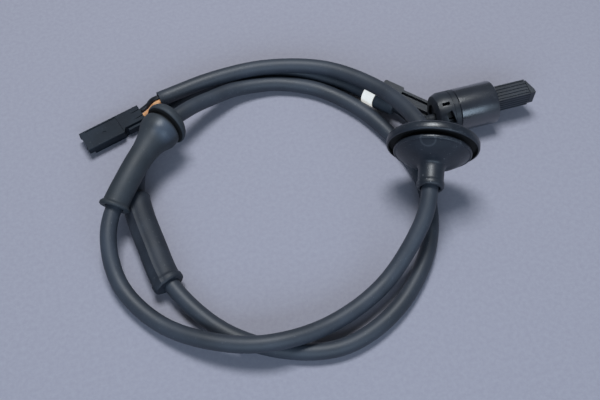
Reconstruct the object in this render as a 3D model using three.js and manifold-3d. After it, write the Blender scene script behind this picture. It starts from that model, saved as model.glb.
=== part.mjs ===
// Wheel speed sensor with its harness, lying on a flat surface. Millimetres, +Z up.
// +X runs along the sensor head towards its ribbed tip, and the surface is z = 0.

import * as THREE from "three";
import { mergeVertices } from "three/addons/utils/BufferGeometryUtils.js";
import Module from "manifold-3d";

const wasm = await Module();
wasm.setup();

// Clearances
const fit = 0.3;
const hoseFit = 0.6;

// Sensor head, measured along its axis from the rear face of the holder
const headRearX = -19.3;
const headAxisY = -11.5;
const bodyRadius = 12;
const holderLength = 12.5;
const bodyLength = 22.4;
const tipLength = 23.6;
const bodyChamfer = 0.9;
const bodyWall = 2;
const spigotRadius = 7;
const spigotWall = 1.2;
const spigotInset = 1.5;
const bodyRearWall = 2.2;
const cavityRadius = bodyRadius - bodyWall;

// Holder with its two windows and its cable arm
const holderRound = 4.2;
const holderMouthRadius = 6.2;
const holderBandWidth = 2.8;
const holderBandGroove = 0.3;
const windowDepth = bodyRadius - spigotRadius;
const smallWindow = { length: 4.2, width: 1.9, turn: 10, slant: 0, rear: 3.4 };
const largeWindow = { length: 3.7, width: 7.8, turn: 51, slant: 15, rear: 5 };
const armTurn = 133.5;
const armOrigin = [11.6, 0];
const armStart = 4.4;
const armReach = 43.8;
const armWidth = 7.4;
const armBottom = 2.6;
const armThickness = 4;
const armGrooveWidth = 1.6;
const armGrooveDepth = 2.6;
const armLedgeWidth = 1.6;
const armLedgeThickness = 1.5;
const armLedgeEnd = 22;
const armBlockLength = 12.4;
const armBlockWidth = 8.2;
const armBlockShift = 1.25;

// Ribbed tip
const tipWidth = 10.2;
const tipRise = 1.5;
const tipGrooves = 5;
const tipGrooveWidth = 0.7;
const tipGrooveDepth = 0.45;
const tipCapLength = 3.4;
const tipCapInset = 0.5;
const tipCapChamfer = [2.5, 7];
const tipCapGroove = 0.5;
const carrierDiscLength = 3.4;

// Coil, magnet and pole piece
const poleRadius = 2;
const poleEndWall = 1.5;
const magnetLength = 4.7;
const bobbinFlangeRadius = cavityRadius - 1;
const bobbinFlangeThickness = 1.2;
const bobbinCoreWall = 1.1;
const magnetCupWall = 1.2;
const windingLength = 4.6;
const windingRadius = bobbinFlangeRadius - 0.8;

// Head terminals and rear seal
const terminalThickness = 0.6;
const terminalWidth = 1.4;
const terminalOuterReach = bobbinFlangeRadius - 1.4;
const terminalInnerReach = 1.7;
const magnetRadius = terminalOuterReach - 3.2;
const rearSealLength = 5;
const leadPort = [-1.2, -1.2];

// Cables
const hoseRadius = 4.25;
const hoseSteps = 80;
const hoseSides = 10;
const leadRadius = 2.75;
const wireRadius = 1.45;
const hoseMouthRadius = 3.5;
const hoseMouthDepth = 10;

// Two-way connector, measured along its own length from the mating end
const connectorPlace = [-208.5, 28.4];
const connectorTurn = 17;
const connectorLength = 36;
const connectorWidth = 13.2;
const connectorHeight = 8;
const connectorCorner = 0.8;
const undersideHeight = 4.2;
const undersideInset = 1.7;
const undersideSetback = 3.4;
const socketWidth = 7.8;
const socketHeight = 4.4;
const socketDepth = 15;
const rearRecessLength = 12.4;
const rearRecessDepth = 2.6;
const rearRecessSlope = 2;
const topPanelLength = 22;
const topPanelStart = 3.4;
const topPanelDepth = 0.5;
const topPanelMargin = 1.1;
const dimplePlace = [12.4, -0.4];
const dimpleRadius = 1.1;
const dimpleDepth = 0.35;
const notchLength = 6;
const notchWidth = 1.3;
const tabWidth = 2.2;
const tabThickness = 0.6;
const tabReach = 5.5;
const contactWidth = 2.8;
const contactHeight = 2.4;
const contactLength = 7;
const sealPocketWidth = 8.8;
const sealPocketHeight = 4.8;
const sealPocketDepth = 8.6;
const wireSealLength = 4;
const wirePitch = 3.8;
const wireMiddleY = 1.6;
const wireHeight = 4.8;
const latchThickness = 1.5;
const latchHeight = 4.6;

// Places along the hose, from its sensor end
const endSleeveLength = 12;
const endSleeveRearRadius = 5.6;
const endSleeveFrontRadius = 4.7;
const endSleeveOverlap = 6.2;
const bandStart = 6.6;
const bandLength = 7;
const bandWall = 0.8;
const clampStart = 200.5;
const clampLength = 55;
const clampRadius = 6.6;
const clampLobeRadius = 4.4;
const clampLobeOffset = 4;
const clampLipLength = 3;
const clampLipHeight = 0.7;
const bootStart = 647;
const bootLength = 60.5;
const bigGrommetStart = 955;
const bigGrommetRadius = 24;
const bigGrommetNeck = 14;
const bigGrommetRim = 20.6;
const bigGrommetGroove = 1.3;
const bigGrommetFlange = 4.8;
const bootFlangeRadius = 12.2;
const bootBulbRadius = 11.2;
const bootSleeveRadius = 6.5;

// Hose route from the sensor end to the connector end, points chosen by hand on the loop
const hoseRoute = [
  [-39.3, 7.8, 6.4], [-57.1, 28.5, 5.2], [-85.1, 46.9, 4.5], [-118.8, 52.3, 4.5], [-147.4, 46.6, 4.5],
  [-168.0, 28.9, 4.5], [-181.8, 7.0, 5.0], [-186.7, -16.2, 7.6], [-184.2, -44.5, 7.8], [-178.6, -72.0, 7.3],
  [-159.9, -99.7, 4.7], [-132.1, -118.0, 4.5], [-102.1, -122.8, 4.5], [-70.1, -108.4, 4.5], [-44.8, -78.2, 4.5],
  [-36.9, -40.3, 4.5], [-48.3, -1.3, 4.5], [-68.5, 25.4, 4.5], [-92.2, 38.8, 4.9], [-116.7, 40.8, 7.3],
  [-135.4, 34.2, 12.6], [-150.9, 25.5, 18.4], [-166.7, 13.8, 21.8], [-187.5, -9.6, 21.6], [-203.8, -33.4, 15.2],
  [-204.7, -61.0, 7.0], [-189.7, -87.2, 6.0], [-165.4, -106.3, 11.4], [-138.6, -115.3, 14.2], [-107.6, -111.9, 10.0],
  [-77.2, -99.3, 11.3], [-53.0, -80.0, 24.8], [-42.9, -62.6, 33.5], [-36.4, -42.7, 34.2], [-36.0, -20.1, 29.9],
  [-44.9, 10.2, 20.0], [-66.8, 35.7, 13.9], [-98.3, 46.6, 13.2], [-130.0, 46.9, 13.4], [-162.9, 41.0, 13.5],
];

// Lead route from the head to the end sleeve
const leadRoute = [
  [-11.7, -12.7, 10.8], [-16.3, -12.7, 10.8], [-21.0, -12.6, 10.6], [-25.3, -11.0, 8.6], [-28.9, -7.5, 6.4],
  [-31.7, -0.9, 5.8], [-34.7, 2.5, 6.4], [-37.0, 5.3, 6.5], [-39.1, 7.6, 6.4],
];

// Wire routes from the contacts in the connector to the mouth of the hose
const blackRoute = [
  [-186.6, 38.8, 4.8], [-180.8, 40.5, 4.8], [-175.6, 42.1, 4.8], [-170.4, 43.2, 7.2], [-167.0, 43.3, 11.0],
  [-163.1, 42.6, 13.3], [-153.7, 44.3, 13.5],
];
const brownRoute = [
  [-185.5, 35.1, 4.8], [-179.7, 36.9, 4.8], [-174.5, 38.5, 4.8], [-169.5, 39.6, 7.2], [-166.4, 39.6, 11.0],
  [-162.6, 39.3, 13.3], [-153.3, 41.2, 13.5],
];

const material = (colour, roughness, metalness) =>
  new THREE.MeshStandardMaterial({ color: colour, roughness, metalness });

const plasticBlack = () => material(0x23272d, 0.5, 0);
const plasticSatin = () => material(0x2b3038, 0.35, 0);
const rubberBlack = () => material(0x22262b, 0.7, 0);
const hoseBlack = () => material(0x2a2f36, 0.6, 0);
const plasticBrown = () => material(0xb06a38, 0.45, 0);
const steel = () => material(0x9a9ca0, 0.35, 1);
const magnetGrey = () => material(0x4c4e52, 0.4, 1);
const copper = () => material(0xb4662f, 0.35, 1);
const brass = () => material(0xc2a15a, 0.35, 1);

// Closed geometry with merged corners, no collapsed faces and its faces pointing out
function closed(geometry) {
  const bare = geometry.clone();
  bare.deleteAttribute("normal");
  bare.deleteAttribute("uv");
  const merged = mergeVertices(bare, 1e-4);
  const index = Array.from(merged.index.array);
  const place = merged.getAttribute("position");
  const kept = [];
  for (let i = 0; i < index.length; i += 3) {
    const [a, b, c] = index.slice(i, i + 3);
    if (a !== b && b !== c && a !== c) {
      kept.push(a, b, c);
    }
  }
  if (signedVolume(place, kept) < 0) {
    kept.reverse();
  }
  merged.setIndex(kept);
  return merged;
}

function signedVolume(place, index) {
  const a = new THREE.Vector3();
  const b = new THREE.Vector3();
  const c = new THREE.Vector3();
  let volume = 0;
  for (let i = 0; i < index.length; i += 3) {
    a.fromBufferAttribute(place, index[i]);
    b.fromBufferAttribute(place, index[i + 1]);
    c.fromBufferAttribute(place, index[i + 2]);
    volume += a.dot(b.cross(c)) / 6;
  }
  return volume;
}

function toSolid(geometry) {
  const shape = closed(geometry);
  return new wasm.Manifold(new wasm.Mesh({
    numProp: 3,
    vertProperties: new Float32Array(shape.getAttribute("position").array),
    triVerts: new Uint32Array(shape.index.array),
  }));
}

function toGeometry(solid) {
  const mesh = solid.getMesh();
  const geometry = new THREE.BufferGeometry();
  geometry.setAttribute("position", new THREE.Float32BufferAttribute(mesh.vertProperties, 3));
  geometry.setIndex(Array.from(mesh.triVerts));
  return geometry;
}

function joined(base, ...others) {
  return toGeometry(others.reduce((solid, other) => solid.add(toSolid(other)), toSolid(base)));
}

function cut(base, ...tools) {
  return toGeometry(tools.reduce((solid, tool) => solid.subtract(toSolid(tool)), toSolid(base)));
}

function part(name, geometry, finish) {
  const mesh = new THREE.Mesh(closed(geometry), finish);
  mesh.name = name;
  return mesh;
}

// Revolved about the X axis, from a profile of [x, radius] points
function turned(profile, segments = 32) {
  const points = profile.map(([x, radius]) => new THREE.Vector2(radius, x));
  return new THREE.LatheGeometry(points, segments).rotateZ(-Math.PI / 2);
}

function ring(fromX, toX, innerRadius, outerRadius, segments) {
  return turned([
    [fromX, innerRadius], [fromX, outerRadius], [toX, outerRadius], [toX, innerRadius], [fromX, innerRadius],
  ], segments);
}

function rod(fromX, toX, radius, segments = 24) {
  return turned([[fromX, 0], [fromX, radius], [toX, radius], [toX, 0]], segments);
}

function block(low, high) {
  const size = high.map((value, i) => value - low[i]);
  const middle = high.map((value, i) => (value + low[i]) / 2);
  return new THREE.BoxGeometry(...size).translate(...middle);
}

function outline(points) {
  return new THREE.Shape(points.map(([x, y]) => new THREE.Vector2(x, y)));
}

// Section drawn in Y and Z, pushed out along X
function pushedAlongX(shape, fromX, length, curveSegments = 6) {
  const geometry = new THREE.ExtrudeGeometry(shape, { depth: length, bevelEnabled: false, curveSegments });
  return geometry.rotateZ(Math.PI / 2).rotateY(Math.PI / 2).translate(fromX, 0, 0);
}

function roundedRectangle(width, height, corner) {
  const shape = new THREE.Shape();
  const x = width / 2;
  const y = height / 2;
  shape.moveTo(-x + corner, -y);
  shape.lineTo(x - corner, -y);
  shape.absarc(x - corner, -y + corner, corner, -Math.PI / 2, 0);
  shape.lineTo(x, y - corner);
  shape.absarc(x - corner, y - corner, corner, 0, Math.PI / 2);
  shape.lineTo(-x + corner, y);
  shape.absarc(-x + corner, y - corner, corner, Math.PI / 2, Math.PI);
  shape.lineTo(-x, -y + corner);
  shape.absarc(-x + corner, -y + corner, corner, Math.PI, 1.5 * Math.PI);
  return shape;
}

function circleOutline(radius, x = 0, y = 0) {
  const shape = new THREE.Shape();
  shape.absarc(x, y, radius, 0, 2 * Math.PI);
  return shape;
}

function routeCurve(points) {
  return new THREE.CatmullRomCurve3(points.map((p) => new THREE.Vector3(...p)), false, "catmullrom", 0.5);
}

function tubeAlong(curve, radius, sides, steps) {
  const section = new THREE.Shape();
  for (let i = 0; i < sides; i += 1) {
    const angle = (2 * Math.PI * i) / sides;
    section.lineTo(radius * Math.cos(angle), radius * Math.sin(angle));
  }
  return new THREE.ExtrudeGeometry(section, { steps, extrudePath: curve, bevelEnabled: false });
}

const hoseCurve = routeCurve(hoseRoute);
hoseCurve.arcLengthDivisions = 1200;
const hoseLength = hoseCurve.getLength();

// Frame at a distance along the hose: the point, the way along, the left side and the upper side
function hoseFrame(distance) {
  const share = Math.min(Math.max(distance / hoseLength, 0), 1);
  const beyond = distance - share * hoseLength;
  const along = hoseCurve.getTangentAt(share);
  const point = hoseCurve.getPointAt(share).addScaledVector(along, beyond);
  const left = new THREE.Vector3(0, 0, 1).cross(along).normalize();
  const up = along.clone().cross(left);
  return { point, along, left, up };
}

// Bends a shape modelled along X, with Y to the left and Z up, onto the hose from a given distance
function ontoHose(geometry, start) {
  const bent = geometry.clone();
  const place = bent.getAttribute("position");
  for (let i = 0; i < place.count; i += 1) {
    const { point, left, up } = hoseFrame(start + place.getX(i));
    point.addScaledVector(left, place.getY(i));
    point.addScaledVector(up, place.getZ(i));
    place.setXYZ(i, point.x, point.y, point.z);
  }
  return bent;
}

// Closed profile of a rubber piece: the outside from end to end, then back along its bore
function sleeveProfile(outside, boreRadius, boreSteps) {
  const [start] = outside[0];
  const [end] = outside[outside.length - 1];
  const bore = [];
  for (let i = boreSteps; i >= 0; i -= 1) {
    bore.push([start + ((end - start) * i) / boreSteps, boreRadius]);
  }
  return [...outside, ...bore, outside[0]];
}

// Sensor head stations
const holderFrontX = holderLength;
const bodyRearX = holderFrontX + fit;
const bodyFrontX = bodyRearX + bodyLength;
const tipEndX = bodyFrontX + tipLength;
const spigotBore = spigotRadius - spigotWall;
const cavityRearX = bodyRearX + bodyRearWall;
const carrierRearX = bodyFrontX - carrierDiscLength;
const bobbinFrontX = carrierRearX - fit;
const bobbinFlangeX = bobbinFrontX - bobbinFlangeThickness;
const windingFrontX = bobbinFlangeX - fit;
const windingRearX = windingFrontX - windingLength;
const rearFlangeFrontX = windingRearX - fit;
const rearFlangeX = rearFlangeFrontX - bobbinFlangeThickness;
const poleBore = poleRadius + fit;
const magnetFrontX = rearFlangeX - fit;
const magnetRearX = magnetFrontX - magnetLength;
const cupInner = magnetRadius + fit;
const sealRearX = spigotInset;
const sealFrontX = sealRearX + rearSealLength;

function sensorBody() {
  const outer = bodyRadius - bodyChamfer;
  return turned([
    [spigotInset, spigotBore],
    [spigotInset, spigotRadius],
    [bodyRearX, spigotRadius],
    [bodyRearX, outer],
    [bodyRearX + bodyChamfer, bodyRadius],
    [bodyFrontX - bodyChamfer, bodyRadius],
    [bodyFrontX, outer],
    [bodyFrontX, cavityRadius],
    [cavityRearX, cavityRadius],
    [cavityRearX, spigotBore],
    [spigotInset, spigotBore],
  ], 48);
}

// Square prism whose four sides carry lengthwise grooves
function ribbedOutline(width) {
  const half = width / 2;
  const pitch = width / tipGrooves;
  const side = [];
  for (let i = 0; i < tipGrooves; i += 1) {
    const middle = -half + pitch * (i + 0.5);
    const reach = tipGrooveWidth / 2;
    side.push([middle - reach, -half], [middle - reach / 2, -half + tipGrooveDepth]);
    side.push([middle + reach / 2, -half + tipGrooveDepth], [middle + reach, -half]);
  }
  const points = [];
  for (let turn = 0; turn < 4; turn += 1) {
    const c = Math.round(Math.cos((turn * Math.PI) / 2));
    const s = Math.round(Math.sin((turn * Math.PI) / 2));
    points.push([-half * c + half * s, -half * s - half * c]);
    side.forEach(([x, y]) => points.push([x * c - y * s, x * s + y * c]));
  }
  return outline(points);
}

function tipCarrier() {
  const capRearX = tipEndX - tipCapLength;
  const disc = rod(carrierRearX, bodyFrontX, cavityRadius - fit, 48);
  const prism = pushedAlongX(ribbedOutline(tipWidth), bodyFrontX - 1, tipLength - tipCapLength + 1);
  const half = tipWidth / 2 - tipCapInset;
  const neckX = capRearX + tipCapGroove;
  const cap = new THREE.ExtrudeGeometry(outline([
    [neckX, -half], [tipEndX, -half], [tipEndX, half - tipCapChamfer[1]], [tipEndX - tipCapChamfer[0], half],
    [neckX, half],
  ]), { depth: 2 * half, bevelEnabled: false }).translate(0, 0, -half);
  const neck = block([capRearX - 1, 1 - half, 1 - half], [neckX + 1, half - 1, half - 1]);
  const bore = rod(carrierRearX - 1, tipEndX - poleEndWall, poleBore);
  const raised = [prism, cap, neck].map((shape) => shape.translate(0, 0, tipRise));
  return cut(joined(disc, ...raised), bore);
}

function polePiece() {
  return rod(rearFlangeX, tipEndX - poleEndWall - fit, poleRadius);
}

function magnet() {
  return rod(magnetRearX, magnetFrontX, magnetRadius, 28);
}

// Spool of the coil, with the magnet's cup behind its rear flange
function coilBobbin() {
  const core = poleBore + bobbinCoreWall;
  const cupOuter = cupInner + magnetCupWall;
  return turned([
    [rearFlangeX, poleBore],
    [rearFlangeX, cupInner],
    [magnetRearX - fit, cupInner],
    [magnetRearX - fit, cupOuter],
    [rearFlangeX, cupOuter],
    [rearFlangeX, bobbinFlangeRadius],
    [rearFlangeFrontX, bobbinFlangeRadius],
    [rearFlangeFrontX, core],
    [bobbinFlangeX, core],
    [bobbinFlangeX, bobbinFlangeRadius],
    [bobbinFrontX, bobbinFlangeRadius],
    [bobbinFrontX, poleBore],
    [rearFlangeX, poleBore],
  ], 32);
}

function coilWinding() {
  return ring(windingRearX, windingFrontX, poleBore + bobbinCoreWall + fit, windingRadius, 32);
}

// Bent strip from the bobbin's rear flange, round the magnet and back through the spigot
function headTerminal(side) {
  const outer = terminalOuterReach + terminalThickness / 2;
  const inner = terminalInnerReach - terminalThickness / 2;
  const backX = cavityRearX + 0.8;
  const strip = outline([
    [rearFlangeX - fit, side * (outer - terminalThickness)],
    [rearFlangeX - fit, side * outer],
    [backX, side * outer],
    [backX, side * (inner + terminalThickness)],
    [sealFrontX + 1.6, side * (inner + terminalThickness)],
    [sealFrontX + 1.6, side * inner],
    [backX + terminalThickness, side * inner],
    [backX + terminalThickness, side * (outer - terminalThickness)],
  ]);
  const geometry = new THREE.ExtrudeGeometry(strip, { depth: terminalWidth, bevelEnabled: false });
  return geometry.translate(0, 0, -terminalWidth / 2);
}

function rearSeal() {
  const body = rod(sealRearX, sealFrontX, spigotBore - fit, 32);
  const port = rod(sealRearX - 1, sealFrontX + 1, leadRadius + fit, 20).translate(0, ...leadPort);
  return cut(body, port);
}

// Arm drawn lengthwise in X, then turned out behind the holder
function holderArm() {
  const half = armWidth / 2;
  const beamEnd = armReach - armBlockLength;
  const beam = block([armStart, -half, 0], [beamEnd + 1, half, armThickness]);
  const ledge = block([armStart, half - 1, 0], [armLedgeEnd, half + armLedgeWidth, armLedgeThickness]);
  const end = new THREE.ExtrudeGeometry(roundedRectangle(armBlockLength, armBlockWidth, 1.2), {
    depth: armThickness, bevelEnabled: false, curveSegments: 3,
  }).translate(armReach - armBlockLength / 2, -armBlockShift, 0);
  const grooveY = armGrooveWidth - half;
  const groove = block([armStart + 4, grooveY, armThickness - armGrooveDepth],
    [beamEnd, grooveY + armGrooveWidth, armThickness + 1]);
  const arm = new THREE.BufferGeometry().copy(cut(joined(beam, ledge, end), groove));
  arm.rotateZ(THREE.MathUtils.degToRad(armTurn));
  return arm.translate(...armOrigin, armBottom - bodyRadius);
}

// Window cut through the holder's wall, turned about the axis from the top towards the right side
function windowCut({ length, width, turn, slant, rear }) {
  const tool = block([-length / 2, -width / 2, bodyRadius - windowDepth], [length / 2, width / 2, bodyRadius + 2]);
  tool.rotateZ(THREE.MathUtils.degToRad(slant));
  return tool.translate(rear + length / 2, 0, 0).rotateX(THREE.MathUtils.degToRad(turn));
}

function holder() {
  const bandX = holderFrontX - holderBandWidth;
  const barrel = turned([
    [0, 0], [0, bodyRadius - holderRound], [holderRound * 0.3, bodyRadius - holderRound * 0.3],
    [holderRound, bodyRadius], [bandX - holderBandGroove, bodyRadius],
    [bandX - holderBandGroove, bodyRadius - holderBandGroove], [bandX, bodyRadius - holderBandGroove],
    [bandX, bodyRadius], [holderFrontX, bodyRadius], [holderFrontX, 0],
  ], 48);
  const bore = rod(bodyChamfer + 0.3, holderFrontX + 1, spigotRadius + fit, 32);
  const mouth = rod(-30, bodyChamfer + 1, holderMouthRadius, 32);
  return cut(joined(barrel, holderArm()), bore, mouth, windowCut(smallWindow), windowCut(largeWindow));
}

function sensorHead() {
  const head = new THREE.Group();
  head.add(
    part("holder", holder(), plasticBlack()),
    part("sensor_body", sensorBody(), plasticSatin()),
    part("tip_carrier", tipCarrier(), plasticBlack()),
    part("pole_piece", polePiece(), steel()),
    part("magnet", magnet(), magnetGrey()),
    part("coil_bobbin", coilBobbin(), plasticBlack()),
    part("coil_winding", coilWinding(), copper()),
    part("head_terminal_left", headTerminal(1), brass()),
    part("head_terminal_right", headTerminal(-1), brass()),
    part("rear_seal", rearSeal(), rubberBlack()),
  );
  head.position.set(headRearX, headAxisY, bodyRadius);
  return head;
}

// Connector stations
const pocketRearX = connectorLength - sealPocketDepth;
const socketFloorX = socketDepth;
const recessX = connectorLength - rearRecessLength;
const recessY = rearRecessDepth - connectorWidth / 2;
const rearMiddleY = rearRecessDepth / 2;
const wireSides = [wireMiddleY + wirePitch / 2, wireMiddleY - wirePitch / 2];

// Flat shape drawn from above and pushed up through the housing
function upright(points, low, high) {
  return new THREE.ExtrudeGeometry(outline(points), { depth: high - low, bevelEnabled: false }).translate(0, 0, low);
}

function connectorHousing() {
  const side = connectorWidth / 2;
  const above = connectorHeight + 1;
  const section = roundedRectangle(connectorWidth, connectorHeight, connectorCorner);
  const body = pushedAlongX(section, 0, connectorLength, 3).translate(0, 0, connectorHeight / 2);
  const socket = pushedAlongX(roundedRectangle(socketWidth, socketHeight, 0.6), -1, socketDepth + 1, 2)
    .translate(0, wireMiddleY, wireHeight);
  const recess = upright([
    [recessX - rearRecessSlope, -side], [recessX - rearRecessSlope, -side - 1], [connectorLength + 1, -side - 1],
    [connectorLength + 1, recessY], [recessX, recessY],
  ], -1, above);
  const underside = block([-1, -side - 1, -1], [connectorLength + 1, undersideInset - side, undersideHeight]);
  const setback = block([-1, -side - 1, -1], [undersideSetback, side + 1, undersideHeight - 1]);
  const pocket = pushedAlongX(
    roundedRectangle(sealPocketWidth, sealPocketHeight, 1.2), pocketRearX, sealPocketDepth + 1, 3,
  ).translate(0, rearMiddleY, wireHeight);
  const panel = block([topPanelStart, topPanelMargin - side, connectorHeight - topPanelDepth],
    [topPanelLength, side - topPanelMargin, above]);
  const dimple = rod(connectorHeight - topPanelDepth - dimpleDepth, above, dimpleRadius, 16)
    .rotateY(-Math.PI / 2).translate(...dimplePlace, 0);
  const notchSides = [rearMiddleY - 3, rearMiddleY + 1.6];
  const notches = notchSides.map((y) => upright([
    [connectorLength - notchLength, y], [connectorLength + 1, y - notchWidth / 2],
    [connectorLength + 1, y + notchWidth / 2],
  ], connectorHeight - topPanelDepth, above));
  const chambers = wireSides.flatMap((y) => [
    block([socketFloorX + 1.2, y - contactWidth / 2 - fit, wireHeight - contactHeight / 2 - fit],
      [pocketRearX + 1, y + contactWidth / 2 + fit, wireHeight + contactHeight / 2 + fit]),
    block([socketFloorX - 1, y - tabWidth / 2 - fit, wireHeight - tabThickness / 2 - fit],
      [socketFloorX + 2, y + tabWidth / 2 + fit, wireHeight + tabThickness / 2 + fit]),
  ]);
  return cut(body, socket, recess, underside, setback, pocket, panel, dimple, ...notches, ...chambers);
}

function tabTerminal(y) {
  const contactRearX = socketFloorX + 1.2 + fit;
  const tab = block([socketFloorX - tabReach, y - tabWidth / 2, wireHeight - tabThickness / 2],
    [contactRearX + 1, y + tabWidth / 2, wireHeight + tabThickness / 2]);
  const barrel = block([contactRearX, y - contactWidth / 2, wireHeight - contactHeight / 2],
    [contactRearX + contactLength, y + contactWidth / 2, wireHeight + contactHeight / 2]);
  return joined(tab, barrel);
}

// Rubber or plastic filler of the rear pocket, with a hole for each wire
function pocketFiller(fromX, length) {
  const section = roundedRectangle(sealPocketWidth - 2 * fit, sealPocketHeight - 2 * fit, 1);
  const body = pushedAlongX(section, fromX, length, 3).translate(0, rearMiddleY, wireHeight);
  const holes = wireSides.map((y) => rod(fromX - 1, fromX + length + 1, wireRadius + fit, 12)
    .translate(0, y, wireHeight));
  return cut(body, ...holes);
}

function connectorLatch() {
  const rearX = recessX + fit;
  const innerY = recessY - fit;
  const bar = block([rearX + 1, innerY - latchThickness, undersideHeight - latchHeight / 2],
    [connectorLength - 0.6, innerY, undersideHeight + latchHeight / 2]);
  const thumb = block([connectorLength - 3.4, innerY - rearRecessDepth + fit, undersideHeight],
    [connectorLength - 0.6, innerY, undersideHeight + latchHeight / 2]);
  return joined(bar, thumb);
}

function connector() {
  const group = new THREE.Group();
  const sealX = pocketRearX + fit;
  const coverX = sealX + wireSealLength + fit;
  group.add(
    part("connector_housing", connectorHousing(), plasticBlack()),
    part("tab_terminal_left", tabTerminal(wireSides[0]), brass()),
    part("tab_terminal_right", tabTerminal(wireSides[1]), brass()),
    part("wire_seal", pocketFiller(sealX, wireSealLength), rubberBlack()),
    part("rear_cover", pocketFiller(coverX, connectorLength - coverX), plasticBlack()),
    part("connector_latch", connectorLatch(), plasticBlack()),
  );
  group.position.set(...connectorPlace, 0);
  group.rotation.z = THREE.MathUtils.degToRad(connectorTurn);
  return group;
}

function hose() {
  const tube = tubeAlong(hoseCurve, hoseRadius, hoseSides, hoseSteps);
  const mouth = ontoHose(rod(0, hoseMouthDepth + 2, hoseMouthRadius, 12), hoseLength - hoseMouthDepth);
  return cut(tube, mouth);
}

// Tapered rubber end over the sensor end of the hose, the lead coming out of its small end
function endSleeve() {
  const nose = endSleeveOverlap - endSleeveLength;
  const shell = turned([
    [nose, 0], [nose, endSleeveFrontRadius - 0.6], [nose + 0.8, endSleeveFrontRadius],
    [endSleeveOverlap - 1, endSleeveRearRadius], [endSleeveOverlap, endSleeveRearRadius - 0.6],
    [endSleeveOverlap, 0],
  ], 24);
  const hoseSeat = rod(-fit, endSleeveOverlap + 1, hoseRadius + hoseFit, 20);
  const leadBore = rod(nose - 1, 1, leadRadius + fit, 16);
  return ontoHose(cut(shell, hoseSeat, leadBore), 0);
}

function markingBand() {
  const inner = hoseRadius + hoseFit;
  return ontoHose(ring(bandStart, bandStart + bandLength, inner, inner + bandWall, 24), 0);
}

// Clamp sleeve of a drop-shaped section, its lobe on the outer side of the loop
function clampSleeve() {
  const section = (grow) => {
    const shape = new THREE.Shape();
    const lean = Math.acos((clampRadius - clampLobeRadius) / clampLobeOffset);
    shape.absarc(0, 0, clampRadius + grow, -Math.PI + lean, Math.PI - lean);
    shape.absarc(-clampLobeOffset, 0, clampLobeRadius + grow, Math.PI - lean, Math.PI + lean);
    return shape;
  };
  const steps = 7;
  const make = (shape, fromX, length, count) => {
    const geometry = new THREE.ExtrudeGeometry(shape, {
      depth: length, steps: count, bevelEnabled: false, curveSegments: 8,
    });
    return geometry.rotateZ(Math.PI / 2).rotateY(Math.PI / 2).translate(fromX, 0, 0);
  };
  const body = make(section(0), 0, clampLength, steps);
  const lip = make(section(clampLipHeight), clampLength - clampLipLength, clampLipLength, 1);
  const bore = make(circleOutline(hoseRadius + hoseFit), -1, clampLength + 2, steps);
  return cut(ontoHose(joined(body, lip), clampStart), ontoHose(bore, clampStart));
}

// Small boot: domed rear flange, narrow groove, bulb, long sleeve and end lip
function smallBoot() {
  const end = bootLength;
  const flange = bootFlangeRadius;
  const bulb = bootBulbRadius;
  const sleeve = bootSleeveRadius;
  const outside = [
    [0, sleeve + 0.3], [0.4, flange - 3.4], [1.6, flange - 1.3], [3.2, flange - 0.2], [4.8, flange],
    [5.5, flange - 0.5], [5.6, flange - 3.8], [6.8, flange - 3.8], [7, bulb - 0.6], [8.4, bulb], [11.5, bulb],
    [15, bulb - 0.6], [18.5, bulb - 1.8], [21.5, bulb - 3.1], [24.5, sleeve + 0.7], [28, sleeve + 0.1],
    [34, sleeve], [40, sleeve], [46, sleeve + 0.1], [end - 3, sleeve + 0.3], [end - 2.4, sleeve + 1.3],
    [end - 1, sleeve + 1.6], [end, sleeve + 0.9],
  ];
  return ontoHose(turned(sleeveProfile(outside, hoseRadius + hoseFit, 8), 28), bootStart);
}

// Panel grommet on one straight axis: neck with its lip, dished face, rim, panel groove and rear flange
function bigGrommet() {
  const r = bigGrommetRadius;
  const rim = bigGrommetRim;
  const front = bigGrommetNeck;
  const groove = front + 6;
  const flange = groove + bigGrommetGroove;
  const back = flange + bigGrommetFlange;
  const outside = [
    [0, 6.2], [0.8, 6.9], [3, 6.9], [3.8, 6.4], [front - 2, 6.4], [front, 8.4], [front + 4, rim - 1],
    [front + 4.2, rim - 0.2], [front + 5.2, rim], [groove, rim - 0.6], [groove, rim - 3.4], [flange, rim - 3.4],
    [flange, r - 0.9], [flange + 0.9, r], [back - 1.6, r], [back, r - 1.6], [back, r - 4.5],
    [front + 8, r - 7], [front + 7, 10],
  ];
  const body = turned([[0, 0], ...outside, [front + 7, 0]], 40);
  const { point, along, left, up } = hoseFrame(bigGrommetStart + front / 2);
  const turn = new THREE.Matrix4().makeBasis(along, left, up).setPosition(point);
  const placed = body.translate(-front / 2, 0, 0).applyMatrix4(turn);
  const boreRadius = hoseRadius + hoseFit;
  const bore = ontoHose(turned([
    [-3, 0], [-3, boreRadius], [5, boreRadius], [12, boreRadius], [18, boreRadius], [24, boreRadius],
    [30, boreRadius], [30, 0],
  ], 24), bigGrommetStart);
  return cut(placed, bore);
}

const group = new THREE.Group();
group.add(
  sensorHead(),
  connector(),
  part("hose", hose(), hoseBlack()),
  part("lead", tubeAlong(routeCurve(leadRoute), leadRadius, 10, 14), rubberBlack()),
  part("wire_black", tubeAlong(routeCurve(blackRoute), wireRadius, 8, 12), plasticBlack()),
  part("wire_brown", tubeAlong(routeCurve(brownRoute), wireRadius, 8, 12), plasticBrown()),
  part("end_sleeve", endSleeve(), rubberBlack()),
  part("marking_band", markingBand(), material(0xdcd8c8, 0.5, 0)),
  part("clamp_sleeve", clampSleeve(), rubberBlack()),
  part("small_boot", smallBoot(), rubberBlack()),
  part("big_grommet", bigGrommet(), rubberBlack()),
);

export default group;
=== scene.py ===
# Wheel speed sensor with its harness, laid in loops on a table. +Z is up from the table, and +X runs along
# the sensor head towards its ribbed tip. Places are in metres, and the sizes of pieces in millimetres.

import math
from bisect import bisect

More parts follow.
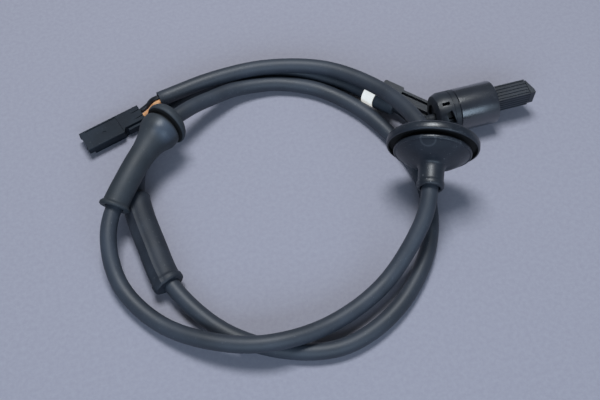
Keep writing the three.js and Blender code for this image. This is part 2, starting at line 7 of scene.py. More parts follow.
import bmesh
import bpy
from mathutils import Matrix, Vector
from mathutils.geometry import interpolate_bezier


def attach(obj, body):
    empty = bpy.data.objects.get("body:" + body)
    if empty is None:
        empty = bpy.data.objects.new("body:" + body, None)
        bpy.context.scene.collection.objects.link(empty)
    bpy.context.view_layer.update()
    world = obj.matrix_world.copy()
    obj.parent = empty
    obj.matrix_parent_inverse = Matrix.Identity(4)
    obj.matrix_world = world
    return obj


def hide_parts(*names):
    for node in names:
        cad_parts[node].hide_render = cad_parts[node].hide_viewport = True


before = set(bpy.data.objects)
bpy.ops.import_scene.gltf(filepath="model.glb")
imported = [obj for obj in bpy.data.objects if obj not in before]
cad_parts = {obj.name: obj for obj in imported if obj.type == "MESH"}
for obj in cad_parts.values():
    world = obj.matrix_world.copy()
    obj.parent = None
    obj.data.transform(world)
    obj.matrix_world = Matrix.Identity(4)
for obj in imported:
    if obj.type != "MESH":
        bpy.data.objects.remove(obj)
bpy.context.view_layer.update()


# Camera: a 50 mm lens beside the plug, looking down at the loops from 60 degrees above the table.
# From there the outlines of the head, the plug and the loops fall where the photograph has them.

scene = bpy.context.scene
camera_data = bpy.data.cameras.new("camera")
camera_data.lens = 50
camera_data.sensor_width = 36
camera_data.clip_start = 0.01
camera = bpy.data.objects.new("camera", camera_data)
camera.location = (-0.16612, -0.25207, 0.3897)
camera.rotation_euler = (math.radians(30), 0, math.radians(-16.25))
scene.collection.objects.link(camera)
scene.camera = camera


# Hose: extruded black rubber, 8.5 mm across and 1.17 m long, laid once round and a second time over itself.
# Its cut end stands open, and two wires come out of it.

mm = 0.001
hose_radius = 4.25
hose_step = 3
mouth_radius = 3.5
mouth_depth = 10
cut_length = 0.3
cut_outside = 0.25
cut_inside = 0.15
hose_points = [
    (-0.0393, 0.0078, 0.0064), (-0.0571, 0.0285, 0.0052), (-0.0851, 0.0469, 0.0045),
    (-0.1188, 0.0523, 0.0045), (-0.1474, 0.0466, 0.0045), (-0.1680, 0.0289, 0.0045),
    (-0.1818, 0.0070, 0.0050), (-0.1867, -0.0162, 0.0076), (-0.1842, -0.0445, 0.0078),
    (-0.1786, -0.0720, 0.0073), (-0.1599, -0.0997, 0.0047), (-0.1321, -0.1180, 0.0045),
    (-0.1021, -0.1228, 0.0045), (-0.0701, -0.1084, 0.0045), (-0.0448, -0.0782, 0.0045),
    (-0.0369, -0.0403, 0.0045), (-0.0483, -0.0013, 0.0045), (-0.0685, 0.0254, 0.0045),
    (-0.0922, 0.0388, 0.0049), (-0.1167, 0.0408, 0.0073), (-0.1354, 0.0342, 0.0126),
    (-0.1509, 0.0255, 0.0184), (-0.1667, 0.0138, 0.0218), (-0.1875, -0.0096, 0.0216),
    (-0.2038, -0.0334, 0.0152), (-0.2047, -0.0610, 0.0070), (-0.1897, -0.0872, 0.0060),
    (-0.1654, -0.1063, 0.0114), (-0.1386, -0.1153, 0.0142), (-0.1076, -0.1119, 0.0100),
    (-0.0772, -0.0993, 0.0113), (-0.0530, -0.0800, 0.0248), (-0.0429, -0.0626, 0.0335),
    (-0.0364, -0.0427, 0.0342), (-0.0360, -0.0201, 0.0299), (-0.0449, 0.0102, 0.0200),
    (-0.0668, 0.0357, 0.0139), (-0.0983, 0.0466, 0.0132), (-0.1300, 0.0469, 0.0134),
    (-0.1629, 0.0410, 0.0135),
]


def smooth_line(points, cuts=24):
    """Places along one smooth line through the points, and the distance of each from the start"""
    line = [Vector(p) for p in points]
    ahead = [*line[1:], 2 * line[-1] - line[-2]]
    behind = [2 * line[0] - line[1], *line[:-1]]
    pulls = [(a - b) / 6 for a, b in zip(ahead, behind)]
    places = []
    for i in range(len(line) - 1):
        ends = line[i], line[i] + pulls[i], line[i + 1] - pulls[i + 1], line[i + 1]
        places += interpolate_bezier(*ends, cuts + 1)[:-1]
    places.append(line[-1])
    distances = [0.0]
    for a, b in zip(places, places[1:]):
        distances.append(distances[-1] + (b - a).length)
    return places, distances


def spot_on(line, distance):
    """Matrix at a distance along a line: X ahead, Y to the left and Z up, straight on beyond its ends"""
    places, distances = line
    last = len(places) - 1
    low = min(max(bisect(distances, distance) - 1, 0), last - 1)
    share = (distance - distances[low]) / (distances[low + 1] - distances[low])
    directions = []
    for i in (low, low + 1):
        directions.append((places[min(i + 1, last)] - places[max(i - 1, 0)]).normalized())
    ahead = directions[0].lerp(directions[1], min(max(share, 0), 1)).normalized()
    if 0 <= share <= 1:
        spot = places[low].lerp(places[low + 1], share)
    elif share < 0:
        spot = places[0] + ahead * (distance - distances[0])
    else:
        spot = places[last] + ahead * (distance - distances[last])
    left = Vector((0, 0, 1)).cross(ahead).normalized()
    up = ahead.cross(left)
    return Matrix((
        (ahead.x, left.x, up.x, spot.x),
        (ahead.y, left.y, up.y, spot.y),
        (ahead.z, left.z, up.z, spot.z),
        (0, 0, 0, 1),
    ))


def lay_along(bm, line, start=0):
    """Bends a piece modelled along X onto a line, its own X counted from start"""
    for v in bm.verts:
        v.co = spot_on(line, start * mm + v.co.x) @ Vector((0, v.co.y, v.co.z))


def wall(length, step, radius):
    """Points [x, radius] every step along a straight wall, so that it can bend"""
    return [[i * step, radius] for i in range(1, int(length / step))]


def turned(profile, sides):
    """Piece of revolution about X, from [x, radius] pairs"""
    bm = bmesh.new()
    chain = [bm.verts.new((x * mm, 0, radius * mm)) for x, radius in profile]
    edges = [bm.edges.new(pair) for pair in zip(chain, chain[1:])]
    bmesh.ops.spin(
        bm, geom=chain + edges, cent=(0, 0, 0), axis=(1, 0, 0), angle=2 * math.pi, steps=sides,
        use_merge=True,
    )
    bmesh.ops.remove_doubles(bm, verts=bm.verts, dist=1e-7)
    bmesh.ops.recalc_face_normals(bm, faces=bm.faces)
    return bm


def finished(bm, name, material, node, sharp=40):
    """Object from a bmesh, smooth but for edges over the sharp angle, standing for the CAD node"""
    for face in bm.faces:
        face.smooth = True
    for edge in bm.edges:
        edge.smooth = len(edge.link_faces) != 2 or edge.calc_face_angle(0) < math.radians(sharp)
    mesh = bpy.data.meshes.new(name)
    bm.to_mesh(mesh)
    bm.free()
    piece = bpy.data.objects.new(name, mesh)
    scene.collection.objects.link(piece)
    mesh.materials.append(material)
    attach(piece, "root")
    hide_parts(node)
    return piece


class Tone:
    """A value or colour in a material, which sums and products mix further"""

    def __init__(self, tree, socket=None):
        self.tree = tree
        self.socket = socket

    def add(self, kind, settings=None, values=None, out=0):
        """Output of a new node of that kind, with its settings and the values or tones of its sockets"""
        node = self.tree.nodes.new(kind)
        for key, value in (settings or {}).items():
            setattr(node, key, value)
        for key, value in (values or {}).items():
            if isinstance(value, Tone):
                self.tree.links.new(value.socket, node.inputs[key])
            else:
                node.inputs[key].default_value = value
        return Tone(self.tree, node.outputs[out])

    def maths(self, operation, first, second):
        return self.add("ShaderNodeMath", {"operation": operation}, {0: first, 1: second})

    def __add__(self, other):
        return self.maths("ADD", self, other)

    __radd__ = __add__

    def __sub__(self, other):
        return self.maths("SUBTRACT", self, other)

    def __rsub__(self, other):
        return self.maths("SUBTRACT", other, self)

    def __mul__(self, other):
        return self.maths("MULTIPLY", self, other)

    __rmul__ = __mul__

    def blend(self, low, high):
        """Colour from low to high by this value"""
        return self.add("ShaderNodeMix", {"data_type": "RGBA"}, {0: self, 6: low, 7: high}, 2)

    def between(self, low, high):
        """0 under low and 1 over high, smoothly"""
        values = {"Value": self, "From Min": low, "From Max": high}
        return self.add("ShaderNodeMapRange", {"interpolation_type": "SMOOTHSTEP"}, values)


def colour(red, green, blue):
    """Linear colour from the 0 to 255 values of a paint chart"""
    shares = [value / 255 for value in (red, green, blue)]
    return (*[c / 12.92 if c <= 0.04045 else ((c + 0.055) / 1.055) ** 2.4 for c in shares], 1)


def new_finish(name):
    """Empty material, its shader and the place on the piece as a tone"""
    material = bpy.data.materials.new(name)
    material.use_nodes = True
    tree = material.node_tree
    place = Tone(tree).add("ShaderNodeTexCoord", out=3)
    return material, tree.nodes["Principled BSDF"], place


def spots(place, scale, detail=3, roughness=0.55):
    """Cloudy noise from 0 to 1, finer the larger its scale"""
    values = {"Vector": place, "Scale": scale, "Detail": detail, "Roughness": roughness}
    return place.add("ShaderNodeTexNoise", None, values)


def raised(height, strength, distance):
    """Normal of a surface with that height, its full depth given as a distance in metres"""
    return height.add("ShaderNodeBump", None, {"Strength": strength, "Distance": distance, "Height": height})


def feed(shader, tones):
    """Links tones to the shader's sockets of those names, or sets them where they are plain numbers"""
    for name, value in tones.items():
        if isinstance(value, Tone):
            value.tree.links.new(value.socket, shader.inputs[name])
        else:
            shader.inputs[name].default_value = value


def hose_rubber():
    """Extruded rubber: two close shades in soft clouds, a fine grain and a thin bloom of dust"""
    material, shader, place = new_finish("hose_rubber")
    clouds = spots(place, 40, 4)
    specks = spots(place, 1000, 2).between(0.64, 0.76)
    grain = spots(place, 2600, 3, 0.6)
    shade = clouds.between(0.3, 0.7).blend(colour(40, 46, 55), colour(50, 57, 68))
    feed(shader, {
        "Base Color": (specks * 0.25).blend(shade, colour(118, 122, 132)),
        "Roughness": 0.54 + (clouds - 0.5) * 0.16,
        "Normal": raised(grain + clouds * 0.8, 0.35, 0.0001),
    })
    return material


hose_line = smooth_line(hose_points)
hose_length = hose_line[1][-1]
hose_end = hose_length / mm
hose_bm = turned([
    [0, 0],
    [0, hose_radius],
    *wall(hose_end, hose_step, hose_radius),
    [hose_end - cut_length, hose_radius],
    [hose_end, hose_radius - cut_outside],
    [hose_end, mouth_radius + cut_inside],
    [hose_end - cut_length, mouth_radius],
    [hose_end - mouth_depth, mouth_radius],
    [hose_end - mouth_depth, 0],
], sides=24)
lay_along(hose_bm, hose_line)
hose = finished(hose_bm, "hose_tube", hose_rubber(), "hose")


# Lead: thin black rubber cable from the head's rear seal into the end of the hose, with shallow rings
# pressed into its jacket. It bends down to the table and up into the sleeve.

lead_radius = 2.75
ring_start = 0.4
ring_pitch = 1.4
ring_width = 0.9
ring_edge = 0.1
ring_depth = 0.08
lead_points = [
    (-0.0117, -0.0127, 0.0108), (-0.0163, -0.0127, 0.0108), (-0.0210, -0.0126, 0.0106),
    (-0.0253, -0.0110, 0.0086), (-0.0289, -0.0075, 0.0064), (-0.0317, -0.0009, 0.0058),
    (-0.0347, 0.0025, 0.0064), (-0.0370, 0.0053, 0.0065), (-0.0391, 0.0076, 0.0064),
]


def moulded(
    name, deep, pale, rough, grain, depth, dust=0.25, gloss=0.5, painted_sheen=None, scuffs=0, mark=None,
):
    """Rubber or plastic from a mould: two close shades in clouds, pale specks of dust and a fine grain.
    One vertex attribute paints near-black shade where the piece lies in deep shade, in grooves and hollows,
    and dulls it there. Where a sheen roughness is given, another attribute marks a painted reflection: a
    paler, bluish patch, that smooth. Scuffs are pale smudges. A mark is a function that works more into the
    shade and the height."""
    material, shader, place = new_finish(name)
    clouds = spots(place, 60, 4)
    specks = spots(place, 900, 2).between(0.66, 0.76)
    film = spots(place, 25, 3).between(0.42, 0.7)
    painted_shade = place.add("ShaderNodeAttribute", {"attribute_name": "painted_shade"}, out=2)
    shade = clouds.between(0.3, 0.7).blend(deep, pale)
    shade = (specks * (film * dust + dust * 0.35)).blend(shade, colour(120, 124, 130))
    height = spots(place, grain, 3, 0.6)
    if scuffs:
        smudges = spots(place, 170, 5, 0.7).between(0.56, 0.7) * spots(place, 50, 2).between(0.4, 0.6)
        shade = (smudges * scuffs).blend(shade, colour(120, 126, 134))
    if mark:
        shade, height = mark(place, shade, height)
    dull = rough + (film - 0.5) * 0.1 + (clouds - 0.5) * 0.16 + painted_shade * 0.4
    if painted_sheen:
        painted_sheen_patch = place.add("ShaderNodeAttribute", {"attribute_name": "painted_sheen"}, out=2)
        dull = dull - painted_sheen_patch * (rough - painted_sheen)
        # Painted reflection: a paler, bluish patch where the front lamp would show on the bulb
        shade = (painted_sheen_patch * (0.1 + clouds * 0.75)).blend(shade, colour(84, 96, 114))
    feed(shader, {
        # Painted shade: near-black where the attribute marks hollows that lie in deep shade
        "Base Color": painted_shade.blend(shade, colour(6, 7, 9)),
        "Roughness": dull,
        "Specular IOR Level": gloss,
        "Normal": raised(height + clouds * 0.6, depth, 0.0002),
    })
    return material


cable_rubber = moulded("cable_rubber", colour(26, 30, 36), colour(40, 45, 53), 0.65, 1800, 0.4, gloss=0.3)
lead_line = smooth_line(lead_points)
lead_end = lead_line[1][-1] / mm
lead_rings = []
for i in range(int(lead_end / ring_pitch)):
    x = ring_start + i * ring_pitch
    lead_rings += [
        [x, lead_radius],
        [x + ring_width, lead_radius],
        [x + ring_width + ring_edge, lead_radius - ring_depth],
    ]
lead_bm = turned([
    [0, 0], [0, lead_radius - 0.1], *lead_rings, [lead_end, lead_radius], [lead_end, 0],
], sides=24)
lay_along(lead_bm, lead_line)
lead = finished(lead_bm, "lead_cable", cable_rubber, "lead", sharp=60)


# Wires: two copper wires, 2.9 mm across in their extruded PVC jackets, one black and one orange-brown.
# They are crimped to the contacts of the plug and run up into the hose's open end.

wire_radius = 1.45
wire_step = 1.2
black_points = [
    (-0.1866, 0.0388, 0.0048), (-0.1808, 0.0405, 0.0048), (-0.1756, 0.0421, 0.0048),
    (-0.1704, 0.0432, 0.0072), (-0.1670, 0.0433, 0.0110), (-0.1631, 0.0426, 0.0133),
    (-0.1537, 0.0443, 0.0135),
]
brown_points = [
    (-0.1855, 0.0351, 0.0048), (-0.1797, 0.0369, 0.0048), (-0.1745, 0.0385, 0.0048),
    (-0.1695, 0.0396, 0.0072), (-0.1664, 0.0396, 0.0110), (-0.1626, 0.0393, 0.0133),
    (-0.1533, 0.0412, 0.0135),
]


def wire_jacket(name, deep, pale):
    """Smooth PVC jacket with soft streaks and a slight gloss"""
    material, shader, place = new_finish(name)
    streaks = spots(place, 350, 3)
    feed(shader, {
        "Base Color": streaks.between(0.3, 0.7).blend(deep, pale),
        "Roughness": 0.3 + streaks * 0.15,
        "Normal": raised(streaks, 0.2, 0.0001),
    })
    return material


def wire(name, points, jacket, node):
    """One wire through its points, and the line that it follows"""
    line = smooth_line(points)
    end = line[1][-1] / mm
    bm = turned([
        [0, 0], [0, wire_radius], *wall(end, wire_step, wire_radius), [end, wire_radius], [end, 0],
    ], sides=20)
    lay_along(bm, line)
    return finished(bm, name, jacket, node), line


black_jacket = wire_jacket("black_jacket", colour(18, 20, 24), colour(34, 37, 43))
brown_jacket = wire_jacket("brown_jacket", colour(196, 132, 84), colour(226, 172, 124))
black_wire, black_line = wire("black_wire", black_points, black_jacket, "wire_black")
brown_wire, brown_line = wire("brown_wire", brown_points, brown_jacket, "wire_brown")


# End sleeve: tapered end moulded of dull rubber and pushed over the start of the hose.
# The lead comes out of its nose.

sleeve_bore = 4.35
# Painted light: its rubber is a paler copy of the clamp sleeve's, making up for the shadow the strand above
# casts on it
end_rubber_lightened = moulded("end_rubber_lightened", colour(52, 59, 68), colour(66, 74, 85), 0.6, 1500, 0.5)
end_bm = turned([
    [-5.8, 3.0], [-5.8, 4.0], [-5.5, 4.5], [-4.9, 4.7], [-2, 4.95], [2, 5.25], [4.4, 5.5], [5.2, 5.6],
    [5.8, 5.5], [6.2, 5.1], [6.2, sleeve_bore], [0.2, sleeve_bore], [-0.3, 3.0], [-5.8, 3.0],
], sides=40)
lay_along(end_bm, hose_line)
end_sleeve = finished(end_bm, "sleeve_end", end_rubber_lightened, "end_sleeve")


# Marking band: a short sleeve of matt white plastic, shrunk onto the hose next to the end sleeve.
# It is slightly wrinkled and grubby, and glows faintly: painted light that keeps it bright in the shade of
# the strand above.

band_start = 6.4
band_length = 7.2
band_bore = 4.9


def band_white_painted_glow():
    """Matt white plastic with a grey film and a faint painted glow"""
    material, shader, place = new_finish("band_white_painted_glow")
    grime = spots(place, 260, 4)
    feed(shader, {
        "Base Color": grime.between(0.35, 0.75).blend(colour(250, 250, 246), colour(226, 226, 222)),
        "Roughness": 0.5 + grime * 0.2,
        # Painted light: a faint white glow where the strand above shades the band
        "Emission Color": (0.97, 0.97, 0.92, 1),
        "Emission Strength": 0.55,
        "Normal": raised(grime, 0.3, 0.0002),
    })
    return material


band_bm = turned([
    [0, band_bore], [0, 5.3], [0.2, 5.5], [1.6, 5.6], [3.6, 5.5], [5.6, 5.6], [band_length - 0.2, 5.55],
    [band_length, 5.3], [band_length, band_bore], [0, band_bore],
], sides=40)
lay_along(band_bm, hose_line, band_start)
band = finished(band_bm, "band", band_white_painted_glow(), "marking_band")


# Clamp sleeve: thick moulded rubber sleeve of drop-shaped section, slid over the hose for a bracket to grip.
# It has a lip at its far end, and a low ridge from the mould where the round part meets the lobe. The lobe
# stands on the outer side of the loop.

clamp_start = 200.5
clamp_length = 55
clamp_step = 3
clamp_radius = 6.6
clamp_ridge = 0.75
lobe_radius = 4.4
lobe_offset = 4
round_sides = 32
lobe_sides = 14


def drop_loop(bm, x, grow):
    """Edges round the drop-shaped section at x, grown outwards by that much, the lobe towards -Y"""
    lean = math.acos((clamp_radius - lobe_radius) / lobe_offset)
    arcs = [
        (0, clamp_radius, lean - math.pi, math.pi - lean, round_sides),
        (-lobe_offset, lobe_radius, math.pi - lean, math.pi + lean, lobe_sides),
    ]
    loop = []
    for middle, radius, first, last, count in arcs:
        for i in range(count):
            angle = first + (last - first) * i / (count - 1)
            reach = radius + grow
            if radius == clamp_radius and i == count - 1:
                reach += clamp_ridge
            across = middle + reach * math.cos(angle)
            loop.append(bm.verts.new((x * mm, across * mm, reach * math.sin(angle) * mm)))
    return [bm.edges.new(pair) for pair in zip(loop, [*loop[1:], loop[0]])]


def round_loop(bm, x, radius, sides):
    """Edges round the bore at x"""
    seat = Matrix.Translation((x * mm, 0, 0)) @ Matrix.Rotation(math.pi / 2, 4, "Y")
    ring = bmesh.ops.create_circle(bm, segments=sides, radius=radius * mm, matrix=seat)["verts"]
    return list(dict.fromkeys(edge for v in ring for edge in v.link_edges))


piece_rubber = moulded("piece_rubber", colour(30, 35, 44), colour(42, 48, 58), 0.6, 1500, 0.5, gloss=0.4)
clamp_rings = [
    (0, -0.5), (0.5, -0.1), (1.2, 0),
    *[(i * clamp_step, 0) for i in range(1, 17)],
    (clamp_length - 4.8, 0), (clamp_length - 3.8, 0.15), (clamp_length - 3.2, 0.6),
    (clamp_length - 2.6, 0.7), (clamp_length - 1.2, 0.7), (clamp_length - 0.4, 0.5), (clamp_length, 0.1),
]
clamp_bm = bmesh.new()
clamp_loops = [drop_loop(clamp_bm, x, grow) for x, grow in clamp_rings]
clamp_loops += [round_loop(clamp_bm, x, sleeve_bore, round_sides + lobe_sides) for x in (clamp_length, 0)]
for a, b in zip(clamp_loops, [*clamp_loops[1:], clamp_loops[0]]):
    bmesh.ops.bridge_loops(clamp_bm, edges=a + b)
bmesh.ops.recalc_face_normals(clamp_bm, faces=clamp_bm.faces)
lay_along(clamp_bm, hose_line, clamp_start)
clamp_sleeve = finished(clamp_bm, "sleeve_clamp", piece_rubber, "clamp_sleeve")


# Small boot: moulded rubber, slid over the hose. It has a rounded flange, a groove for the edge of a panel,
# a bulb and a long sleeve with an end lip. The groove is painted near-black as shade. The bulb is smoother
# on one side, and a pale bluish painted reflection lies on that side.

boot_start = 647
boot_flange = [
    [0.2, 4.5], [-0.4, 5], [-0.6, 6.4], [-0.4, 8], [0, 9.2], [0.7, 10.3], [1.6, 11.2], [2.6, 11.8],
    [3.6, 12.2], [4.4, 12.3], [5, 12.2], [5.4, 11.9], [5.6, 11.4],
]
boot_groove = [[5.65, 8.2], [7.3, 8.2]]
boot_bulb = [
    [7.35, 9.2], [7.5, 10.1], [7.9, 10.65], [8.6, 10.9], [9.9, 10.95], [11.6, 10.85], [13, 10.6],
    [14.2, 10.15], [15.4, 9.5], [16.8, 8.9], [18.6, 8.3], [20.4, 7.75], [22.2, 7.35],
]
boot_sleeve = [
    [24, 7.05], [26, 6.85], [28, 6.75], [30, 6.7], [33, 6.7], [36, 6.65], [39, 6.6], [42, 6.6],
    [45, 6.6], [48, 6.65], [51, 6.7], [54, 6.7], [56.6, 6.75],
]
boot_lip = [
    [57.6, 6.85], [58, 7.2], [58.5, 7.8], [59.2, 8.1], [60, 8.05], [60.4, 7.6], [60.5, 6.6], [60.1, 4.95],
]
boot_bore = [[57, 4.5], [45, 4.45], [30, 4.45], [15, 4.45], [0.2, 4.5]]
# Side the painted reflection faces, and the edges of its fade
painted_sheen_side = (0.64, 0.77)
painted_sheen_edge = (0.74, 0.94)


def marked(bm, name, amount):
    """Attribute of that name on the vertices, by a function of each one's x, y and z"""
    layer = bm.verts.layers.float.new(name)
    for v in bm.verts:
        v[layer] = float(amount(*(v.co / mm)))


def ramp(value, low, high):
    """0 at low, 1 at high and straight between them"""
    return min(max((value - low) / (high - low), 0), 1)


# Where the boot's groove is painted near-black as shade
def shade_in_boot_groove(x, y, z):
    return 5.5 < x < 7.4 and math.hypot(y, z) < 11.5


def painted_sheen_patch(x, y, z):
    """1 in the middle of the painted reflection patch on the bulb, and fading out round it"""
    facing = (painted_sheen_side[0] * y + painted_sheen_side[1] * z) / math.hypot(y, z)
    return ramp(facing, *painted_sheen_edge) * ramp(x, 8, 10) * ramp(x, 19.5, 15.5)


boot_rubber = moulded(
    "boot_rubber", colour(32, 39, 46), colour(42, 49, 57), 0.66, 1100, 0.35, dust=0.3, gloss=0.5, painted_sheen=0.42,
)
boot_bm = turned([*boot_flange, *boot_groove, *boot_bulb, *boot_sleeve, *boot_lip, *boot_bore], sides=64)
marked(boot_bm, "painted_shade", shade_in_boot_groove)
marked(boot_bm, "painted_sheen", painted_sheen_patch)
lay_along(boot_bm, hose_line, boot_start)
boot = finished(boot_bm, "boot", boot_rubber, "small_boot", sharp=55)


# Big grommet: soft moulded rubber for a large panel hole, pushed over the hose. A neck with a lip opens into
# a dished face with a thin rim. A deep groove takes the panel's edge, and a rounded flange backs it.

grommet_start = 955
neck = 14
grommet_neck = [
    [1.2, 4.95], [0.2, 5.1], [0, 5.8], [0.2, 6.5], [0.9, 6.9], [2.1, 7], [3, 6.9], [3.5, 6.6], [4.2, 6.5],
    [7, 6.5], [neck - 4.4, 6.55], [neck - 3, 6.65], [neck - 2.2, 6.95], [neck - 1.6, 7.6],
]
grommet_face = [
    [neck - 1.2, 8.7], [neck - 0.5, 10.6], [neck + 0.8, 13.4], [neck + 2.6, 16.2], [neck + 4.3, 18.2],
]
grommet_rim = [
    [neck + 4.7, 18.8], [neck + 4.6, 19.1], [neck + 4.7, 19.5], [neck + 5.1, 19.8], [neck + 6.1, 19.9],
    [neck + 6.6, 19.7], [neck + 6.8, 19.3],
]
grommet_groove = [[neck + 6.85, 15], [neck + 10, 15]]
grommet_flange = [
    [neck + 10, 22.3], [neck + 7.9, 22.5], [neck + 7.8, 22.9], [neck + 8.1, 23.4], [neck + 8.8, 23.65],
    [neck + 11, 23.65], [neck + 12, 23.3], [neck + 12.6, 22.6], [neck + 12.8, 21.8], [neck + 12.8, 20.2],
]
grommet_hollow = [
    [neck + 12.3, 19.4], [neck + 10.9, 17], [neck + 9.2, 10], [neck + 7, 5.2], [neck + 4, 4.9], [1.2, 4.95],
]
half_neck = neck / 2 * mm
grommet_seat = spot_on(hose_line, grommet_start * mm + half_neck) @ Matrix.Translation((-half_neck, 0, 0))
gate_place = grommet_seat @ Vector(((neck + 4.5) * mm, 4.4 * mm, 17.9 * mm))


# Where the grommet's groove is painted near-black as shade
def shade_in_grommet_groove(x, y, z):
    return neck + 6.82 < x < neck + 10.1 and 14 < math.hypot(y, z) < 22.6


def gate_mark(place, shade, height):
    """Works a plain round gate mark, 9 mm across, into the face: a raised disc with a pale edge"""
    away = place.add("ShaderNodeVectorMath", {"operation": "DISTANCE"}, {0: place, 1: gate_place}, 1)
    edge = away.between(0.0030, 0.0036) * (1 - away.between(0.0038, 0.0045))
    shade = (edge * 0.16).blend(shade, colour(120, 126, 134))
    return shade, height + (1 - away.between(0.0034, 0.0043)) * 1.5


grommet_rubber = moulded(
    "grommet_rubber", colour(20, 25, 33), colour(32, 38, 47), 0.38, 900, 0.3, dust=0.6, gloss=0.5,
    scuffs=0.3, mark=gate_mark,
)
grommet_bm = turned([
    *grommet_neck, *grommet_face, *grommet_rim, *grommet_groove, *grommet_flange, *grommet_hollow,
], sides=96)
marked(grommet_bm, "painted_shade", shade_in_grommet_groove)
bmesh.ops.transform(grommet_bm, matrix=grommet_seat, verts=grommet_bm.verts)
grommet = finished(grommet_bm, "grommet", grommet_rubber, "big_grommet", sharp=50)


# Sensor body: barrel moulded of satin black plastic with rounded ends, open towards the tip.
# Its narrower spigot runs back into the holder, painted near-black as shade there, and its outside has a
# thin clear gloss.

head_place = (-0.0193, -0.0115, 0.012)
body_start = 12.8
body_end = 35.2
body_radius = 12
body_bore = 10.05
bore_floor = 15
spigot_start = 1.5
spigot_radius = 7
spigot_bore = 5.8


# Where the spigot is painted near-black as the shade inside the holder
def shade_in_spigot(x, y, z):
    return x < body_start + 0.1 and math.hypot(y, z) < 10


body_satin = moulded(
    "body_satin", colour(27, 32, 42), colour(33, 39, 50), 0.31, 1400, 0.2, dust=0.2, gloss=1, scuffs=0.12,
)
outside = 1 - Tone(body_satin.node_tree).add("ShaderNodeAttribute", {"attribute_name": "painted_shade"}, out=2)
feed(body_satin.node_tree.nodes["Principled BSDF"], {"Coat Weight": outside * 0.75, "Coat Roughness": 0.2})
body_bm = turned([
    [spigot_start, spigot_bore],
    [spigot_start, spigot_radius],
    [body_start, spigot_radius],
    [body_start, body_radius - 0.8],
    [body_start + 0.1, body_radius - 0.3],
    [body_start + 0.4, body_radius - 0.05],
    [body_start + 0.9, body_radius],
    [(body_start + body_end) / 2, body_radius],
    [body_end - 1.1, body_radius],
    [body_end - 0.5, body_radius - 0.12],
    [body_end - 0.15, body_radius - 0.45],
    [body_end, body_radius - 0.9],
    [body_end, body_bore],
    [bore_floor, body_bore],
    [bore_floor, spigot_bore],
    [spigot_start, spigot_bore],
], sides=96)
marked(body_bm, "painted_shade", shade_in_spigot)
bmesh.ops.transform(body_bm, matrix=Matrix.Translation(head_place), verts=body_bm.verts)
finished(body_bm, "body_barrel", body_satin, "sensor_body", sharp=30)


# Holder, ribbed tip, plug housing, latch and rear cover: hard black plastic from the mould, with a small
# radius on every edge, duller on the plug than on the head. The tip closes the barrel, the holder grips its
# spigot, and latch and cover snap onto the housing.


def softened(node, name, material, width, segments=3, angle=28):
    """Copy of a CAD node with its facets joined and its edges rounded by that width"""
    bm = bmesh.new()
    bm.from_mesh(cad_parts[node].data)
    bmesh.ops.remove_doubles(bm, verts=bm.verts, dist=2e-6)
    bmesh.ops.dissolve_limit(bm, angle_limit=math.radians(2), verts=bm.verts, edges=bm.edges)
    piece = finished(bm, name, material, node, sharp=angle)
    bevel = piece.modifiers.new("rounding", "BEVEL")
    bevel.width = width * mm
    bevel.segments = segments
    bevel.limit_method = "ANGLE"
    bevel.angle_limit = math.radians(angle)
    bevel.harden_normals = True
    return piece


hard_black = moulded("hard_black", colour(26, 31, 39), colour(37, 43, 52), 0.44, 1600, 0.4)
plug_black = moulded("plug_black", colour(26, 32, 40), colour(36, 43, 52), 0.66, 1500, 0.4, gloss=0.15)
softened("holder", "holder_shell", hard_black, 0.22)
softened("tip_carrier", "tip_ribbed", hard_black, 0.12, segments=2)
housing = softened("connector_housing", "plug_housing", plug_black, 0.2)
latch = softened("connector_latch", "plug_latch", plug_black, 0.2)
cover = softened("rear_cover", "plug_cover", plug_black, 0.12)


# Works of the head, contacts and seals: a magnet and a steel pole piece, a coil of enamelled copper wire on
# its bobbin, bronze strips to the lead, brass contacts and rubber seals. They are the CAD's own solids,
# pressed into each other, and only get their finish here.


def metal(name, deep, pale, rough):
    """Bright metal with fine scratches and a slight stain"""
    material, shader, place = new_finish(name)
    stain = spots(place, 300, 4)
    scratches = spots(place, 3000, 2)
    feed(shader, {
        "Base Color": stain.between(0.3, 0.7).blend(deep, pale),
        "Metallic": 1.0,
        "Roughness": rough + scratches * 0.15,
        "Normal": raised(scratches, 0.15, 0.0001),
    })
    return material


def winding_copper():
    """Enamelled copper wire wound side by side"""
    material, shader, place = new_finish("winding_copper")
    turns = place.add("ShaderNodeTexWave", {"bands_direction": "X"}, {"Vector": place, "Scale": 1600.0}, 1)
    feed(shader, {
        "Base Color": turns.blend(colour(120, 60, 28), colour(190, 110, 60)),
        "Metallic": 1.0,
        "Roughness": 0.3 + turns * 0.1,
        "Normal": raised(turns, 0.5, 0.0001),
    })
    return material


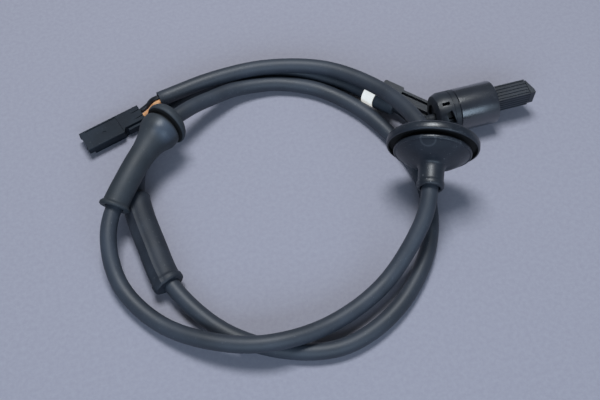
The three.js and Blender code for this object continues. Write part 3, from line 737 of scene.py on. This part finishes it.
contact_brass = metal("contact_brass", colour(196, 160, 92), colour(222, 192, 128), 0.25)
pole_steel = metal("pole_steel", colour(150, 152, 156), colour(182, 184, 188), 0.3)
magnet_grey = metal("magnet_grey", colour(48, 50, 54), colour(64, 66, 70), 0.5)
# Bronze painted darker than bare metal, standing for the shade inside the holder seen through its windows
darkened_bronze = metal("darkened_bronze", colour(52, 42, 32), colour(76, 62, 46), 0.55)
inner_finish = {
    "pole_piece": pole_steel,
    "magnet": magnet_grey,
    "coil_bobbin": hard_black,
    "coil_winding": winding_copper(),
    "head_terminal_left": darkened_bronze,
    "head_terminal_right": darkened_bronze,
    "rear_seal": piece_rubber,
    "tab_terminal_left": contact_brass,
    "tab_terminal_right": contact_brass,
    "wire_seal": piece_rubber,
}
for node, material in inner_finish.items():
    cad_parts[node].data.materials.clear()
    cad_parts[node].data.materials.append(material)


# Table: plain blue-grey paper. Two soft lamps light it, one above the object and a wide bluish one in front
# of it, and a dim room fills the shadows.

floor_bm = bmesh.new()
bmesh.ops.create_grid(floor_bm, x_segments=1, y_segments=1, size=3)
floor_mesh = bpy.data.meshes.new("table")
floor_bm.to_mesh(floor_mesh)
floor_bm.free()
floor = bpy.data.objects.new("table", floor_mesh)
scene.collection.objects.link(floor)
paper, paper_shader, paper_place = new_finish("paper")
fibres = spots(paper_place, 450, 5, 0.65)
feed(paper_shader, {
    "Base Color": fibres.between(0.25, 0.75).blend(colour(139, 138, 151), colour(146, 146, 158)),
    "Roughness": 0.9,
    "Normal": raised(fibres, 0.1, 0.0002),
})
floor_mesh.materials.append(paper)
loops_middle = Vector((-0.09, -0.03, 0))


def soft_lamp(name, spot, width, height, watts, tint):
    """Rectangular lamp aimed at the middle of the loops"""
    data = bpy.data.lights.new(name, "AREA")
    data.shape = "RECTANGLE"
    data.size = width
    data.size_y = height
    data.energy = watts
    data.color = tint
    lamp = bpy.data.objects.new(name, data)
    lamp.location = spot
    lamp.rotation_euler = (loops_middle - Vector(spot)).to_track_quat("-Z", "Y").to_euler()
    scene.collection.objects.link(lamp)


soft_lamp("lamp_above", (-0.08, 0.27, 1.12), 0.42, 0.36, 13, (0.93, 0.97, 1.0))
soft_lamp("lamp_front", (-0.28, -0.96, 0.6), 1.7, 0.6, 9.5, (0.62, 0.8, 1.0))
world = bpy.data.worlds.new("room")
world.use_nodes = True
room_light = world.node_tree.nodes["Background"]
room_light.inputs["Color"].default_value = (0.85, 0.92, 1.0, 1)
room_light.inputs["Strength"].default_value = 0.13
scene.world = world
scene.view_settings.view_transform = "Standard"
